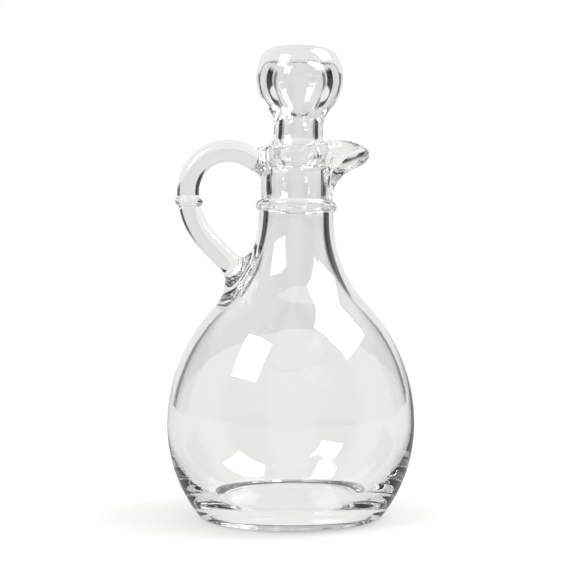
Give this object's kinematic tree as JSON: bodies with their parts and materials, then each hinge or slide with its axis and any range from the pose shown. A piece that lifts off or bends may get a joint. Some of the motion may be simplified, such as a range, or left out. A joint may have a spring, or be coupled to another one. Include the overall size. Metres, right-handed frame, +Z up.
{
  "type": "oil cruet",
  "caption": "Round clear glass cruet with a leaning neck, pouring spout, side handle and a loose hollow glass stopper. It is empty and stands on its foot.",
  "frame": {"origin": "centre of the foot, on the surface that the cruet stands on", "axes": "+Z up, +X towards the spout, -X towards the handle; the neck and the stopper lean 1.5 degrees towards +X"},
  "size_m": [0.1004, 0.1004, 0.1897],
  "materials": {
    "bottle_glass": "clear soda-lime glass, mould blown and fire polished",
    "stopper_glass": "clear soda-lime glass, blown and fire polished"
  },
  "bodies": {
    "root": {"bottle": "bottle_glass", "stopper": "stopper_glass"}
  },
  "joints": []
}
